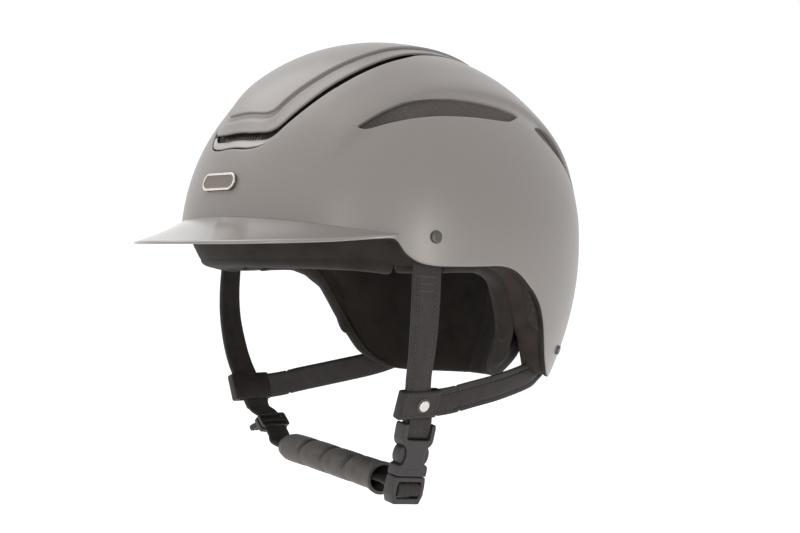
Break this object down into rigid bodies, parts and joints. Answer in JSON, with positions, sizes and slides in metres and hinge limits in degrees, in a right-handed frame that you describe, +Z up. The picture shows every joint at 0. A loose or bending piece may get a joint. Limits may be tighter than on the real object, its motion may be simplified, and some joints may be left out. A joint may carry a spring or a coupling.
{
  "type": "equestrian riding helmet",
  "caption": "Riding helmet with a fixed peak, vented hard shell over a foam liner, comfort pads and a buckled chin harness.",
  "frame": {"origin": "middle of the head opening, level with the shell's rims over the ears", "axes": "+Z up to the crown, -Y out over the peak, +X to the wearer's left"},
  "size_m": [0.222, 0.3006, 0.2797],
  "materials": {
    "shell_lacquer": "satin metallic taupe lacquer",
    "crown_dark": "dark satin plastic",
    "trim_light": "light taupe lacquer",
    "vent_mesh": "fine perforated dark mesh",
    "badge_metal": "polished cast metal",
    "badge_dark": "dark bronze enamel",
    "foam": "moulded bead foam, dark brown",
    "liner_fabric": "near-black wicking knit",
    "hook_tape": "hook-and-loop tape",
    "dark_metal": "dark plated, satin",
    "steel": "zinc plated",
    "stud_metal": "polished nickel press stud",
    "strap_leather": "charcoal synthetic leather, stitched edges",
    "guard_leather": "charcoal padded synthetic leather, ribbed",
    "webbing": "ribbed charcoal webbing",
    "buckle_plastic": "black satin moulded plastic"
  },
  "bodies": {
    "helmet": {"outer_shell": "shell_lacquer", "peak": "shell_lacquer", "eps_liner": "foam", "crown_tray": "crown_dark", "intake_trim": "trim_light", "crown_cover": "shell_lacquer", "crown_panel": "shell_lacquer", "intake_mesh": "vent_mesh", "side_vent_mesh_left": "vent_mesh", "side_vent_mesh_right": "vent_mesh", "rear_vent_mesh_left": "vent_mesh", "rear_vent_mesh_right": "vent_mesh", "badge_rim": "badge_metal", "badge_plate": "badge_dark", "forehead_pad": "liner_fabric", "temple_pad_left": "liner_fabric", "temple_pad_right": "liner_fabric", "crown_pad": "liner_fabric", "nape_pad": "liner_fabric", "hook_patches": "hook_tape", "anchor_screw_left": "dark_metal", "anchor_screw_right": "dark_metal", "anchor_nuts": "steel", "rear_rivet_left": "dark_metal", "rear_rivet_right": "dark_metal", "rear_strap_left": "strap_leather", "rear_strap_right": "strap_leather"},
    "harness": {"front_strap_left": "strap_leather", "front_strap_right": "strap_leather", "buckle_socket": "buckle_plastic", "chin_webbing": "webbing", "chin_webbing_end": "webbing"},
    "keeper_left": {"keeper_left": "strap_leather", "keeper_stud_left": "stud_metal"},
    "keeper_right": {"keeper_right": "strap_leather", "keeper_stud_right": "stud_metal"},
    "chin_guard": {"chin_guard": "guard_leather"},
    "chin_slider": {"chin_slider": "buckle_plastic"},
    "buckle_plug": {"buckle_plug": "buckle_plastic"},
    "release_arm_front": {"release_arm_front": "buckle_plastic"},
    "release_arm_rear": {"release_arm_rear": "buckle_plastic"}
  },
  "joints": [
    {"name": "harness_swing", "type": "hinge", "parent": "helmet", "child": "harness", "pos_m": [0, -0.039, 0.0153], "axis": [1, 0, 0], "range_deg": [0, 12], "deforming": ["rear_strap_left", "rear_strap_right"]},
    {"name": "keeper_left_slide", "type": "slide", "parent": "harness", "child": "keeper_left", "axis": [-0.3465, 0.2376, -0.9075], "range_m": [-0.006, 0.003]},
    {"name": "keeper_right_slide", "type": "slide", "parent": "harness", "child": "keeper_right", "axis": [0.3465, 0.2376, -0.9075], "range_m": [-0.006, 0.003]},
    {"name": "chin_guard_slide", "type": "slide", "parent": "harness", "child": "chin_guard", "axis": [0.9936, -0.0133, -0.1122], "range_m": [-0.004, 0.004]},
    {"name": "chin_slider_slide", "type": "slide", "parent": "harness", "child": "chin_slider", "axis": [-0.7037, 0, 0.7104], "range_m": [-0.003, 0.002]},
    {"name": "buckle_release", "type": "slide", "parent": "harness", "child": "buckle_plug", "axis": [-0.178, -0.0979, -0.9791], "range_m": [0, 0.028], "deforming": ["chin_webbing_end", "release_arm_front", "release_arm_rear"]},
    {"name": "squeeze_front", "type": "slide", "parent": "buckle_plug", "child": "release_arm_front", "axis": [-0.0175, 0.9952, -0.0963], "range_m": [0, 0.0018], "stiffness_N_per_m": 400},
    {"name": "squeeze_rear", "type": "slide", "parent": "buckle_plug", "child": "release_arm_rear", "axis": [0.0175, -0.9952, 0.0963], "range_m": [0, 0.0018], "stiffness_N_per_m": 400}
  ],
  "couplings": [
    {"joint": "squeeze_rear", "follows": "squeeze_front", "ratio": 1}
  ]
}
